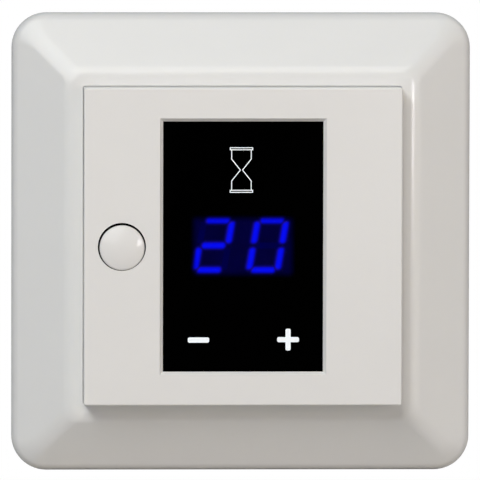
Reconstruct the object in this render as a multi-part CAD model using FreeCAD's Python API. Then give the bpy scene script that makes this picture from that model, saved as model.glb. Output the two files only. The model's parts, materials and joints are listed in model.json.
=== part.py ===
"""Flush-mounted countdown timer switch for a round wall box.

A glossy cover frame surrounds a square front plate with a black touch window and a round push button.
Behind the wall line a moulded housing holds the power board, the relay and four rising-cage terminals.
"""
import FreeCAD, Part
import math
import os

# Sizes are in millimetres. Every piece is drawn lying on its back: X runs to the right, Y up the wall and
# Z out of the wall into the room, with Z 0 on the wall. stand() turns a finished piece upright, so that in
# the exported part +Z is up, the front faces -Y and the origin is the centre of the wall-box screw pattern.

# Cover frame
frame_side = 84.0
frame_corner = 6.4
frame_edge = 2.4
frame_edge_round = 3.3
frame_height = 10.4
frame_wall = 2.0
band_width = 2.8
crest_corner = 2.6
crest_round = 3.6
frame_collar_wall = 1.3
frame_rib = 1.2
frame_rib_offset = 16.0
frame_play = 0.3
rebate_depth = 1.6

# Front plate
plate_side = 58.0
plate_corner = 0.3
plate_edge_round = 0.3
plate_front = 15.0
plate_face = 1.8
shadow_gap = 0.14
seat_gap = 0.2
skirt_inset = 1.1
skirt_wall = 1.2
head_room = 4.0
hook_width = 7.0
hook_offset = 14.0
hook_barb = 0.9
hook_barb_height = 1.3
hook_end_gap = 0.4
hook_play = 0.2

# Touch window
view_width = 29.2
view_height = 45.7
bevel_width = 0.6
bevel_depth = 0.7
window_lap = 0.8
window_thickness = 1.6
window_play = 0.1
window_corner = 0.2
tape_thickness = 0.15
tape_width = 0.6
pocket_wall = 1.2

# Push button and its key switch
button_x = -22.1
cap_diameter = 8.35
cap_gap = 0.21
cap_sag = 0.1
cap_proud = -0.1
dome_rise = 0.8
cap_edge_round = 0.45
cap_wall = 0.9
cap_roof = 1.2
button_travel = 1.0
travel_margin = 0.3
stop_gap = 0.1
lug_thickness = 0.9
lug_reach = 1.0
collar_wall = 0.9
boss_radius = 1.5
switch_side = 6.0
switch_height = 3.5
switch_chamfer = 0.3
plunger_radius = 1.75
plunger_rise = 3.0
plunger_play = 0.1
plunger_chamfer = 0.1
contact_gap = 0.05
spring_wire = 0.35
spring_radius = 2.5
spring_turns = 4

# Display, touch springs and controller on the display board. The display sits a little left of the plate's
# middle.
display_width = 20.0
display_height = 12.6
display_gap = 0.2
display_corner = 0.25
display_x = -0.33
display_y = 0.05
digit_pitch = 9.85
digit_height = 10.1
digit_width = 6.3
segment_width = 1.1
segment_tip = 0.2
flat_bar_length = 4.3
flat_bar_slope = 0.4
upright_end = 4.4
upright_slope = 0.55
segment_waist = 0.42
waist_slope = 0.4
segment_depth = 0.8
digit_slant = 10.0
pin_pitch = 2.54
display_pins_per_row = 5
display_pin_rows = 10.16
pin_side = 0.5
pin_hole_radius = 0.4
pin_tail = 0.8
touch_spring_x = 8.1
touch_spring_inset = 5.6
touch_spring_radius = 3.2
touch_spring_wire = 0.45
touch_spring_turns = 3
chip_side = 7.0
chip_height = 1.4
chip_x = 7.0
chip_y = 16.0
chip_lead_width = 0.35
chip_lead_pitch = 0.8
chip_leads_per_side = 8
chip_lead_reach = 1.0
chip_lead_thickness = 0.25

# Carrier and display board
board_thickness = 1.6
carrier_floor = 1.6
carrier_wall = 1.3
carrier_play = 0.4
carrier_opening_width = 30.0
carrier_opening_height = 34.0
board_play = 0.3
standoff_height = 1.3
standoff_radius = 2.3
board_screw_inset = 3.4
board_screw_radius = 0.9
board_screw_length = 4.0
screw_head_height = 1.0
screw_head_ratio = 2.0
hold_down_radius = 1.8
hold_down_places = [(-12.5, -14.5), (12.5, -14.5), (-12.5, 11.0), (12.5, 11.0)]
hold_down_gap = 0.1

# Mounting ring
ring_side = 71.0
ring_corner = 6.0
ring_thickness = 1.0
ring_opening_width = 32.0
ring_opening_height = 36.0
box_screw_spacing = 60.0
slot_radius = 1.8
slot_length = 7.0
level_notch = 0.8

# Rear housing
housing_side = 46.0
housing_round = 57.0
housing_wall = 1.8
housing_floor = 1.6
housing_edge_round = 1.0
case_screw_x = 18.6
case_screw_y = 15.5
case_screw_radius = 1.0
case_screw_length = 9.0
screw_play = 0.1
case_boss_radius = 2.5
case_boss_step = 0.9

# Power board and what stands on it
power_board_gap = 2.4
power_board_top = 14.6
power_board_play = 0.4
relay_length = 28.6
relay_width = 12.6
relay_height = 15.7
relay_y = -13.2
relay_base = 1.0
relay_case_inset = 0.2
relay_edge_round = 0.4
relay_clearance = 1.7
film_length = 13.0
film_width = 6.0
film_height = 12.0
film_x = -13.4
film_y = 7.7
film_edge_round = 0.5
electrolytic_radius = 4.0
electrolytic_height = 12.5
electrolytic_neck = 0.4
electrolytic_places = [(9.6, 5.8), (16.5, -1.2)]
varistor_radius = 4.6
varistor_thickness = 3.6
varistor_x = -14.2
varistor_y = 0.6
varistor_legs = 2.0
varistor_edge = 1.0
lead_radius = 0.35
fuse_radius = 4.0
fuse_height = 7.8
fuse_x = 7.9
fuse_y = -2.5
fuse_edge = 0.5
transformer_side = 10.5
transformer_height = 11.0
transformer_x = -2.3
transformer_y = -1.3
bobbin_flange = 1.2
bobbin_top_depth = 8.4
winding_radius = 3.8
core_limb_width = 1.6
core_limb_depth = 5.2
rectifier_side = 3.9
rectifier_height = 2.5
rectifier_x = -2.3
rectifier_y = 6.5
rectifier_chamfer = 0.3
header_pins = 6
header_y = 9.6
header_x = 0.0
header_base = 2.2
header_pin_side = 0.64
header_hole_radius = 0.5
header_tail = 0.9

# Rising-cage terminals
terminals = 4
wire_room = 4.4
cage_inner = 4.8
cage_wall = 0.9
cage_foot = 1.2
cage_thread_wall = 2.2
cage_depth = 5.6
cage_end_gap = 0.6
clamp_travel = 2.4
pocket_play = 0.1
pocket_rib = 0.8
bar_thickness = 1.2
bar_play = 0.3
bar_leg = 0.8
cage_bar_gap = 0.3
terminal_screw_radius = 1.45
thread_play = 0.05
terminal_head_radius = 2.1
terminal_head_height = 1.6
head_gap = 0.1
access_radius = 1.7
cross_slot_width = 0.6
cross_slot_depth = 0.7
cross_slot_share = 0.8
entry_funnel = 0.5

# Heights and sizes that follow from the ones above
ring_front = ring_thickness
crest_side = plate_side + 2 * band_width
skirt_side = plate_side - 2 * skirt_inset
opening_side = skirt_side + 2 * frame_play
skirt_inner = skirt_side - 2 * skirt_wall
rebate_side = plate_side + 2 * shadow_gap
rebate_floor = frame_height - rebate_depth
rim_back = rebate_floor + seat_gap
skirt_back = ring_front + head_room
face_back = plate_front - plate_face
window_front = plate_front - bevel_depth - tape_thickness
window_back = window_front - window_thickness
window_width = view_width + 2 * window_lap
window_height = view_height + 2 * window_lap
carrier_side = skirt_inner - 2 * carrier_play
carrier_top = ring_front + carrier_floor
case_screw_seat = carrier_top - screw_head_height / 2
board_back = carrier_top + standoff_height
board_front = board_back + board_thickness
board_side = carrier_side - 2 * carrier_wall - 2 * board_play
display_front = window_back - display_gap
switch_top = board_front + switch_height
cap_back = switch_top + button_travel + travel_margin
lug_front = cap_back + lug_thickness
collar_back = lug_front + stop_gap
cap_radius = cap_diameter / 2
button_hole_radius = cap_radius + cap_gap
plunger_front = switch_top + plunger_rise
cap_roof_back = plate_front + cap_proud - cap_roof
power_board_front = -power_board_gap
power_board_back = power_board_front - board_thickness
rear_depth = relay_height + relay_clearance + housing_floor - power_board_back
floor_front = -rear_depth + housing_floor
head_back = floor_front + head_gap
head_front = head_back + terminal_head_height
cage_back = head_front + clamp_travel + travel_margin
cage_thread_front = cage_back + cage_thread_wall
bar_back = cage_thread_front + cage_bar_gap
bar_front = bar_back + bar_thickness
foot_back = bar_front + wire_room
foot_front = foot_back + cage_foot
cage_width = cage_inner + 2 * cage_wall
pocket_width = cage_width + 2 * pocket_play
terminal_pitch = pocket_width + pocket_rib
housing_inner_top = housing_side / 2 - housing_wall
cage_top = housing_inner_top - cage_end_gap
cage_bottom = cage_top - cage_depth
bar_leg_y = cage_bottom - cage_end_gap
partition_top = bar_leg_y - bar_leg - cage_bar_gap
header_pin_front = board_front + header_tail
touch_spring_y = touch_spring_inset - view_height / 2

# BIG is wider than the whole part, TOUCH counts as no distance, and a cutter runs PAST the face it opens
BIG = 200.0
TOUCH = 1e-4
PAST = 1.0


def vec(x, y, z):
    """A point in the lying frame."""
    return FreeCAD.Vector(x, y, z)


def block(width, height, z0, z1, x=0.0, y=0.0):
    """A box centred on x, y that reaches from z0 to z1."""
    return Part.makeBox(width, height, z1 - z0, vec(x - width / 2, y - height / 2, z0))


def span(x0, x1, y0, y1, z0, z1):
    """A box given by its two corners."""
    return Part.makeBox(x1 - x0, y1 - y0, z1 - z0, vec(x0, y0, z0))


def rod(radius, z0, z1, x=0.0, y=0.0):
    """A round bar along Z."""
    return Part.makeCylinder(radius, z1 - z0, vec(x, y, z0), vec(0, 0, 1))


def outline(width, height, radius, z, x=0.0, y=0.0):
    """A rounded rectangle as one closed wire of four quarter arcs and the sides between them."""
    arcs = []
    for sx, sy, start in [(1, 1, 0), (-1, 1, 90), (-1, -1, 180), (1, -1, 270)]:
        centre = vec(x + sx * (width / 2 - radius), y + sy * (height / 2 - radius), z)
        angles = [math.radians(start + turn) for turn in (0, 45, 90)]
        arcs.append([centre + vec(radius * math.cos(a), radius * math.sin(a), 0) for a in angles])
    edges = []
    for i, arc in enumerate(arcs):
        following = arcs[(i + 1) % 4]
        edges.append(Part.Arc(*arc).toShape())
        edges.append(Part.LineSegment(arc[2], following[0]).toShape())
    return Part.Wire(edges)


def slab(width, height, radius, z0, z1, x=0.0, y=0.0):
    """A plate with rounded corners."""
    face = Part.Face(outline(width, height, radius, z0, x, y))
    return face.extrude(vec(0, 0, z1 - z0))


def slot(length, radius, z0, z1, x, y, along_x):
    """A round-ended slot cutter."""
    straight = length - 2 * radius
    width, height = (straight, 2 * radius) if along_x else (2 * radius, straight)
    dx, dy = (straight / 2, 0) if along_x else (0, straight / 2)
    ends = [rod(radius, z0, z1, x + sign * dx, y + sign * dy) for sign in (-1, 1)]
    return block(width, height, z0, z1, x, y).fuse(ends)


def drills(radius, places, z0, z1):
    """Round cutters that drill a plate from z0 to z1 at each place."""
    return [rod(radius, z0 - PAST, z1 + PAST, x, y) for x, y in places]


def fused(shapes):
    """One solid from shapes that overlap or share faces."""
    return shapes[0].fuse(shapes[1:]).removeSplitter()


def edges_at(shape, z):
    """Edges that lie wholly at one height."""
    return [e for e in shape.Edges if abs(e.BoundBox.ZMin - z) < TOUCH and abs(e.BoundBox.ZMax - z) < TOUCH]


def revolved(points, x=0.0, y=0.0):
    """A solid of revolution about the Z line through x, y from radius, z points."""
    corners = [vec(x + r, y, z) for r, z in points]
    wire = Part.makePolygon(corners + [corners[0]])
    return Part.Face(wire).revolve(vec(x, y, 0), vec(0, 0, 1), 360)


def arc_through(start, knee, end):
    """The arc that leaves start towards knee and arrives at end from knee."""
    middle = (start + end) * 0.5
    lift = knee - middle
    half_chord = (end - start).Length / 2
    half_angle = math.atan2(lift.Length, half_chord)
    crown = middle + lift.normalize() * (half_chord * math.tan(half_angle / 2))
    return Part.Arc(start, crown, end).toShape()


def coil(radius, wire_diameter, turns, z0, z1, x, y):
    """A compression spring from z0 to z1: a round wire swept along half turns, each of two tangent arcs."""
    rise = z1 - z0 - wire_diameter
    halves = int(turns * 2)
    full = halves * math.pi
    start_z = z0 + wire_diameter / 2

    def place(angle):
        return vec(x + radius * math.cos(angle), y + radius * math.sin(angle), start_z + rise * angle / full)

    def heading(angle):
        return vec(-radius * math.sin(angle), radius * math.cos(angle), rise / full).normalize()

    edges = []
    for i in range(halves):
        a, b = i * math.pi, (i + 1) * math.pi
        p, q, tp, tq = place(a), place(b), heading(a), heading(b)
        chord, both = q - p, tp + tq
        square = 4 - both.dot(both)
        along = chord.dot(both)
        reach = (math.sqrt(along * along + square * chord.dot(chord)) - along) / square
        knee_a, knee_b = p + tp * reach, q - tq * reach
        joint = (knee_a + knee_b) * 0.5
        edges += [arc_through(p, knee_a, joint), arc_through(joint, knee_b, q)]
    path = Part.Wire(edges)
    section = Part.Wire(Part.Circle(place(0), heading(0), wire_diameter / 2).toShape())
    sweep = Part.BRepOffsetAPI.MakePipeShell(path)
    sweep.add(section)
    sweep.build()
    sweep.makeSolid()
    return sweep.shape()


def cover_frame():
    """The outer frame: a hollow moulding that slopes to a crest and a flat band, rebated for the plate."""
    edge = slab(frame_side, frame_side, frame_corner, 0, frame_edge)
    low = outline(frame_side, frame_side, frame_corner, frame_edge)
    high = outline(crest_side, crest_side, crest_corner, frame_height)
    skin = fused([edge, Part.makeLoft([low, high], True, True)])
    skin = skin.makeFillet(frame_edge_round, edges_at(skin, frame_edge))
    skin = skin.makeFillet(crest_round, edges_at(skin, frame_height))

    # The hollow follows the skin at one wall thickness, offset square to the slope
    slope = math.atan2(frame_height - frame_edge, (frame_side - crest_side) / 2)
    hollow_edge = frame_edge - frame_wall * math.tan((math.pi / 2 - slope) / 2)
    crest_shift = frame_wall * math.tan(slope / 2)
    hollow_side = frame_side - 2 * frame_wall
    roof = frame_height - frame_wall
    hollow_corner = frame_corner - frame_wall
    roof_side = crest_side - 2 * crest_shift
    hollow = fused([
        slab(hollow_side, hollow_side, hollow_corner, -PAST, hollow_edge),
        Part.makeLoft([
            outline(hollow_side, hollow_side, hollow_corner, hollow_edge),
            outline(roof_side, roof_side, crest_corner, roof),
        ], True, True),
    ])
    collar_side = opening_side + 2 * frame_collar_wall
    collar = block(collar_side, collar_side, skirt_back, frame_height)
    ribs = []
    rib_reach = frame_side / 2 - frame_wall / 2
    for turn in range(4):
        for offset in (-frame_rib_offset, frame_rib_offset):
            rib = span(offset - frame_rib / 2, offset + frame_rib / 2, opening_side / 2, rib_reach,
                       ring_front + frame_play, frame_height)
            rib.rotate(vec(0, 0, 0), vec(0, 0, 1), 90 * turn)
            ribs.append(rib)
    inside = hollow.common(fused([collar] + ribs))
    body = skin.cut(hollow).fuse([inside])
    opening = slab(opening_side, opening_side, plate_corner, -PAST, frame_height + PAST)
    rebate = slab(rebate_side, rebate_side, plate_corner + shadow_gap, rebate_floor, frame_height + PAST)
    return body.cut([opening, rebate]).removeSplitter()


def hook(y_sign, x):
    """A snap hook under the skirt: a springy leg with an inward barb that grips the carrier."""
    outer = y_sign * skirt_side / 2
    inner = y_sign * skirt_inner / 2
    tip = inner - y_sign * (carrier_play + hook_barb)
    back = ring_front + hook_end_gap
    leg = span(x - hook_width / 2, x + hook_width / 2, min(outer, inner), max(outer, inner), back, skirt_back)
    profile = [
        vec(x - hook_width / 2, inner, back),
        vec(x - hook_width / 2, tip, back + hook_barb_height / 2),
        vec(x - hook_width / 2, tip, back + hook_barb_height),
        vec(x - hook_width / 2, inner, back + hook_barb_height),
    ]
    barb = Part.Face(Part.makePolygon(profile + [profile[0]])).extrude(vec(hook_width, 0, 0))
    return [leg, barb]


def front_plate():
    """The square plate: a face with a bevelled window opening and a button hole, a skirt and four hooks."""
    head = slab(plate_side, plate_side, plate_corner, rim_back, plate_front)
    head = head.makeFillet(plate_edge_round, edges_at(head, plate_front))
    skirt = slab(skirt_side, skirt_side, plate_corner, skirt_back, rim_back)
    hollow = block(skirt_inner, skirt_inner, skirt_back, face_back)
    shell = fused([head, skirt]).cut(hollow)

    pocket_width_out = window_width + 2 * (window_play + pocket_wall)
    pocket_height_out = window_height + 2 * (window_play + pocket_wall)
    pocket_rim = block(pocket_width_out, pocket_height_out, window_back, face_back)
    guide = rod(button_hole_radius + collar_wall, collar_back, face_back, button_x)
    guide = guide.common(block(skirt_side, skirt_side, skirt_back, plate_front))
    hooks = []
    for y_sign in (-1, 1):
        for x in (-hook_offset, hook_offset):
            hooks += hook(y_sign, x)
    body = fused([shell, pocket_rim, guide] + hooks)

    # The window lies in a pocket from behind, under a bevelled view opening
    pocket_front = plate_front - bevel_depth
    pocket = block(window_width + 2 * window_play, window_height + 2 * window_play, window_back - PAST,
                   pocket_front)
    bevel = Part.makeLoft([
        Part.makePolygon(rectangle(view_width, view_height, pocket_front)),
        Part.makePolygon(rectangle(view_width + 2 * bevel_width, view_height + 2 * bevel_width, plate_front)),
    ], True, True)
    hole = rod(button_hole_radius, collar_back - PAST, plate_front + PAST, button_x)
    return body.cut([pocket, bevel, hole]).removeSplitter()


def rectangle(width, height, z):
    """The corner points of a closed rectangle."""
    a, b = width / 2, height / 2
    return [vec(-a, -b, z), vec(a, -b, z), vec(a, b, z), vec(-a, b, z), vec(-a, -b, z)]


def touch_window():
    """The black tinted panel that is touched on its minus and plus signs."""
    panel = block(window_width, window_height, window_back, window_front)
    upright = [e for e in panel.Edges if e.BoundBox.ZLength > window_thickness / 2]
    return panel.makeFillet(window_corner, upright)


def window_tape():
    """The thin adhesive frame that holds the window in its pocket."""
    inner_width = window_width - 2 * tape_width
    inner_height = window_height - 2 * tape_width
    outer = block(window_width, window_height, window_front, window_front + tape_thickness)
    return outer.cut(block(inner_width, inner_height, window_front - PAST, plate_front))


def button_cap():
    """The domed cap: a cup with a central boss, guided by the plate and kept in by two lugs.

    It hangs a little low in its hole, by the sag.
    """
    edge_z = plate_front + cap_proud
    top_z = edge_z + dome_rise
    dome_radius = (cap_radius ** 2 + dome_rise ** 2) / (2 * dome_rise)
    barrel = rod(cap_radius, cap_back, top_z, button_x, -cap_sag)
    ball = Part.makeSphere(dome_radius, vec(button_x, -cap_sag, top_z - dome_radius))
    slug = rod(cap_radius, edge_z, top_z, button_x, -cap_sag)
    domed = barrel.cut(slug).fuse(slug.common(ball)).removeSplitter()
    domed = domed.makeFillet(cap_edge_round, edges_at(domed, edge_z))
    lugs = rod(cap_radius + lug_reach + cap_gap, cap_back, lug_front, button_x, -cap_sag)
    lugs = lugs.common(block(2 * cap_radius, BIG, cap_back, lug_front, button_x))
    bore = rod(cap_radius - cap_wall, cap_back - PAST, cap_roof_back, button_x, -cap_sag)
    boss = rod(boss_radius, plunger_front + contact_gap, cap_roof_back, button_x, -cap_sag)
    return domed.fuse(lugs).cut(bore).fuse(boss).removeSplitter()


def button_spring():
    """The coil that returns the cap, standing on the key switch round its plunger."""
    return coil(spring_radius, spring_wire, spring_turns, switch_top, cap_roof_back, button_x, 0)


def key_switch_body():
    """The square key switch soldered to the display board."""
    body = block(switch_side, switch_side, board_front, switch_top, button_x)
    body = body.makeChamfer(switch_chamfer, edges_at(body, switch_top))
    well_floor = switch_top - button_travel - 2 * travel_margin
    well = rod(plunger_radius + plunger_play, well_floor, switch_top + PAST, button_x)
    return body.cut(well)


def key_switch_plunger():
    """The round plunger that the cap pushes into the switch."""
    shaft = rod(plunger_radius, switch_top - travel_margin, plunger_front, button_x)
    return shaft.makeChamfer(plunger_chamfer, edges_at(shaft, plunger_front))


def segment_outlines():
    """The seven segments of an upright digit, centred on 0, 0, by their usual letters."""
    half_w, half_h, t, tip = digit_width / 2, digit_height / 2, segment_width, segment_tip
    reach = flat_bar_length / 2
    across_top = [(-reach + tip, half_h), (reach - tip, half_h), (reach, half_h - tip),
                  (reach - flat_bar_slope, half_h - t), (-reach + flat_bar_slope, half_h - t),
                  (-reach, half_h - tip)]
    middle = [(-reach, 0), (-reach + tip, t / 2), (reach - tip, t / 2), (reach, 0), (reach - tip, -t / 2),
              (-reach + tip, -t / 2)]
    inner = half_w - t
    upright = [(half_w, upright_end - tip), (half_w - tip, upright_end), (inner, upright_end - upright_slope),
               (inner, segment_waist + waist_slope), (inner + waist_slope, segment_waist),
               (half_w - tip, segment_waist), (half_w, segment_waist + tip)]

    def flip(points, sx, sy):
        return [(sx * px, sy * py) for px, py in points]

    return {
        "a": across_top, "d": flip(across_top, 1, -1), "g": middle,
        "b": upright, "c": flip(upright, 1, -1), "f": flip(upright, -1, 1), "e": flip(upright, -1, -1),
    }


def segments(letters, x):
    """Chosen segments of one slanted digit, as prisms behind the face of the display."""
    lean = math.tan(math.radians(digit_slant))
    solids = []
    for letter, points in segment_outlines().items():
        if letter in letters:
            corners = [vec(display_x + x + px + lean * py, display_y + py, display_front - segment_depth)
                       for px, py in points]
            face = Part.Face(Part.makePolygon(corners + [corners[0]]))
            solids.append(face.extrude(vec(0, 0, segment_depth)))
    return solids


def lit_segments():
    """The segments that show 20."""
    return Part.Compound(segments("abged", -digit_pitch / 2) + segments("abcdef", digit_pitch / 2))


def unlit_segments():
    """The segments that stay dark while the display shows 20."""
    return Part.Compound(segments("cf", -digit_pitch / 2) + segments("g", digit_pitch / 2))


def display_housing():
    """The two-digit display block, with a pocket for each segment."""
    body = slab(display_width, display_height, display_corner, board_front, display_front, display_x,
                display_y)
    pockets = segments("abcdefg", -digit_pitch / 2) + segments("abcdefg", digit_pitch / 2)
    return body.cut(pockets)


def display_pin_places():
    """Where the display's pins pass through the board."""
    first = -(display_pins_per_row - 1) / 2 * pin_pitch
    columns = [display_x + first + i * pin_pitch for i in range(display_pins_per_row)]
    return [(x, display_y + side * display_pin_rows / 2) for x in columns for side in (-1, 1)]


def display_pins():
    """The two rows of display pins, soldered through the board."""
    return Part.Compound([block(pin_side, pin_side, board_back - pin_tail, board_front, x, y)
                          for x, y in display_pin_places()])


def touch_springs():
    """The two conductive coils that carry the touch signal from the window to the board."""
    radius, wire, turns = touch_spring_radius, touch_spring_wire, touch_spring_turns
    return Part.Compound([coil(radius, wire, turns, board_front, window_back, x, touch_spring_y)
                          for x in (-touch_spring_x, touch_spring_x)])


def controller_chip():
    """The microcontroller: a flat package with gull-wing leads on four sides."""
    lift = chip_lead_thickness / 2
    body = block(chip_side, chip_side, board_front + lift, board_front + chip_height, chip_x, chip_y)
    body = body.makeChamfer(lift, edges_at(body, board_front + chip_height))
    knee = board_front + chip_height / 2
    leads = []
    for turn in range(4):
        for i in range(chip_leads_per_side):
            x = (i - (chip_leads_per_side - 1) / 2) * chip_lead_pitch
            out = chip_side / 2
            half = chip_lead_width / 2
            shoulder = span(x - half, x + half, out - lift, out + chip_lead_reach / 2, knee,
                            knee + chip_lead_thickness)
            drop = span(x - half, x + half, out + chip_lead_reach / 2 - chip_lead_thickness,
                        out + chip_lead_reach / 2, board_front, knee)
            foot = span(x - half, x + half, out + chip_lead_reach / 2 - chip_lead_thickness,
                        out + chip_lead_reach, board_front, board_front + chip_lead_thickness)
            lead = shoulder.fuse([drop, foot])
            lead.rotate(vec(0, 0, 0), vec(0, 0, 1), 90 * turn)
            lead.translate(vec(chip_x, chip_y, 0))
            leads.append(lead)
    return fused([body] + leads)


def board_screw_places():
    """The four corners where the display board is screwed down."""
    reach = board_side / 2 - board_screw_inset
    return [(sx * reach, sy * reach) for sx in (-1, 1) for sy in (-1, 1)]


def case_screw_places():
    """The four screws that clamp carrier, ring and housing together."""
    return [(sx * case_screw_x, sy * case_screw_y) for sx in (-1, 1) for sy in (-1, 1)]


def header_places():
    """The pins between the power board and the display board."""
    first = header_x - (header_pins - 1) / 2 * pin_pitch
    return [(first + i * pin_pitch, header_y) for i in range(header_pins)]


def display_board():
    """The front circuit board, drilled for its screws, the display and the header."""
    board = slab(board_side, board_side, board_play, board_back, board_front)
    cutters = drills(board_screw_radius + screw_play, board_screw_places(), board_back, board_front)
    cutters += drills(pin_hole_radius, display_pin_places(), board_back, board_front)
    cutters += drills(header_hole_radius, header_places(), board_back, board_front)
    return board.cut(cutters)


def pan_screw(radius, length, seat, x, y):
    """A pan-head screw that points away from the room, its head on the seat, with a cross recess."""
    head_radius = screw_head_ratio * radius
    head = rod(head_radius, seat, seat + screw_head_height, x, y)
    head = head.makeChamfer(screw_head_height / 3, edges_at(head, seat + screw_head_height))
    shaft = rod(radius, seat - length, seat, x, y)
    shaft = shaft.makeChamfer(radius / 2, edges_at(shaft, seat - length))
    bars = [block(2 * radius, radius / 2, seat + screw_head_height / 2, seat + 2 * screw_head_height, x, y),
            block(radius / 2, 2 * radius, seat + screw_head_height / 2, seat + 2 * screw_head_height, x, y)]
    return fused([head, shaft]).cut(bars)


def board_screws():
    """The screws that hold the display board on the carrier's standoffs."""
    return Part.Compound([pan_screw(board_screw_radius, board_screw_length, board_front, x, y)
                          for x, y in board_screw_places()])


def case_screws():
    """The long screws through the carrier and the ring into the housing's bosses."""
    return Part.Compound([pan_screw(case_screw_radius, case_screw_length, case_screw_seat, x, y)
                          for x, y in case_screw_places()])


def carrier():
    """The inner chassis: a tray on the ring with standoffs for the board and ledges for the plate's hooks."""
    tray = slab(carrier_side, carrier_side, plate_corner, ring_front, board_front - board_play)
    inner = carrier_side - 2 * carrier_wall
    tray = tray.cut(block(inner, inner, carrier_top, plate_front))
    tray = tray.cut(slab(carrier_opening_width, carrier_opening_height, plate_corner, 0, plate_front))
    pilot_depth = board_screw_length - board_thickness
    posts = [rod(standoff_radius, carrier_top, board_back, x, y) for x, y in board_screw_places()]
    hold_downs = []
    for x, y in hold_down_places:
        edge_x = math.copysign(carrier_opening_width / 2, x)
        hold_downs.append(rod(hold_down_radius, power_board_front + hold_down_gap, carrier_top, x, y))
        hold_downs.append(span(min(x, edge_x), max(x, edge_x), y - hold_down_radius, y + hold_down_radius,
                               ring_front, carrier_top))
    body = fused([tray] + posts + hold_downs)
    cutters = [rod(board_screw_radius + screw_play, board_back - pilot_depth, board_back + PAST, x, y)
               for x, y in board_screw_places()]
    for x, y in case_screw_places():
        cutters.append(rod(case_screw_radius + screw_play, 0, carrier_top + PAST, x, y))
        cutters.append(rod(screw_head_ratio * case_screw_radius + screw_play, case_screw_seat,
                           carrier_top + PAST, x, y))

    # Each hook's barb sits in a pocket under a ledge of the wall
    ledge = ring_front + hook_end_gap + hook_barb_height + hook_play
    depth = hook_barb + hook_play
    for sy in (-1, 1):
        for x in (-hook_offset, hook_offset):
            face = sy * carrier_side / 2
            y0, y1 = sorted([face - sy * depth, face + sy * PAST])
            half = hook_width / 2 + hook_play
            cutters.append(span(x - half, x + half, y0, y1, 0, ledge))
    return body.cut(cutters).removeSplitter()


def mounting_ring():
    """The stamped steel ring, slotted for wall-box screws at the standard spacing on both axes."""
    plate = slab(ring_side, ring_side, ring_corner, 0, ring_thickness)
    reach = box_screw_spacing / 2
    cutters = [slab(ring_opening_width, ring_opening_height, 2 * plate_corner, -PAST,
                    ring_thickness + PAST)]
    for sign in (-1, 1):
        cutters.append(slot(slot_length, slot_radius, -PAST, ring_thickness + PAST, sign * reach, 0, True))
        cutters.append(slot(slot_length, slot_radius, -PAST, ring_thickness + PAST, 0, sign * reach, False))
    cutters += drills(case_screw_radius + screw_play, case_screw_places(), 0, ring_thickness)
    edge = ring_side / 2
    for turn in range(4):
        notch = Part.Face(Part.makePolygon([
            vec(-2 * level_notch, edge + level_notch, -PAST), vec(0, edge - level_notch, -PAST),
            vec(2 * level_notch, edge + level_notch, -PAST), vec(-2 * level_notch, edge + level_notch, -PAST),
        ])).extrude(vec(0, 0, ring_thickness + 2 * PAST))
        notch.rotate(vec(0, 0, 0), vec(0, 0, 1), 90 * turn)
        cutters.append(notch)
    return plate.cut(cutters)


def box_round(side, diameter, z0, z1):
    """A square bar whose corners are rounded off to pass through a round wall box."""
    return block(side, side, z0, z1).common(rod(diameter / 2, z0, z1))


def terminal_places():
    """The middle of each terminal along X."""
    return [(i - (terminals - 1) / 2) * terminal_pitch for i in range(terminals)]


def rear_housing():
    """The moulded cup behind the wall, with screw bosses, terminal pockets, wire entries and screw access."""
    shell = box_round(housing_side, housing_round, -rear_depth, 0)
    shell = shell.makeFillet(housing_edge_round, edges_at(shell, -rear_depth))
    inner = housing_side - 2 * housing_wall
    hollow = box_round(inner, housing_round - 2 * housing_wall, floor_front, PAST)
    inside = []
    for x, y in case_screw_places():
        inside.append(rod(case_boss_radius, floor_front - housing_floor / 2, 0, x, y))
        inside.append(rod(case_boss_radius + case_boss_step, floor_front - housing_floor / 2,
                          power_board_back, x, y))
    pockets_half = terminals * terminal_pitch / 2
    rib_front = power_board_back - pocket_play
    inside.append(span(-pockets_half - pocket_rib / 2, pockets_half + pocket_rib / 2,
                       partition_top - pocket_rib, partition_top, floor_front, rib_front))
    for i in range(terminals + 1):
        x = -pockets_half + i * terminal_pitch
        inside.append(span(x - pocket_rib / 2, x + pocket_rib / 2, partition_top - pocket_rib / 2,
                           housing_inner_top + housing_wall / 2, floor_front, rib_front))
    outer = box_round(housing_side, housing_round, -rear_depth + housing_floor / 2, 0)
    body = fused([shell.cut(hollow)] + [piece.common(outer) for piece in inside])
    cutters = [rod(case_screw_radius + screw_play, -case_screw_length, PAST, x, y)
               for x, y in case_screw_places()]
    clamp_y = (cage_top + cage_bottom) / 2
    cutters += drills(access_radius, [(x, clamp_y) for x in terminal_places()], -rear_depth, floor_front)
    entry_width = cage_inner
    for x in terminal_places():
        cutters.append(span(x - entry_width / 2, x + entry_width / 2, housing_inner_top - PAST,
                            housing_side / 2 + PAST, bar_front, foot_back))
        mouth = Part.makeLoft([
            Part.makePolygon(entry_rectangle(x, 0, housing_side / 2 - entry_funnel)),
            Part.makePolygon(entry_rectangle(x, entry_funnel, housing_side / 2)),
        ], True, True)
        cutters.append(mouth)
    return body.cut(cutters).removeSplitter()


def entry_rectangle(x, grow, y):
    """The corner points of a wire entry at height y up the wall, widened by grow on each side."""
    a = cage_inner / 2 + grow
    z0, z1 = bar_front - grow, foot_back + grow
    return [vec(x - a, y, z0), vec(x + a, y, z0), vec(x + a, y, z1), vec(x - a, y, z1), vec(x - a, y, z0)]


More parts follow.
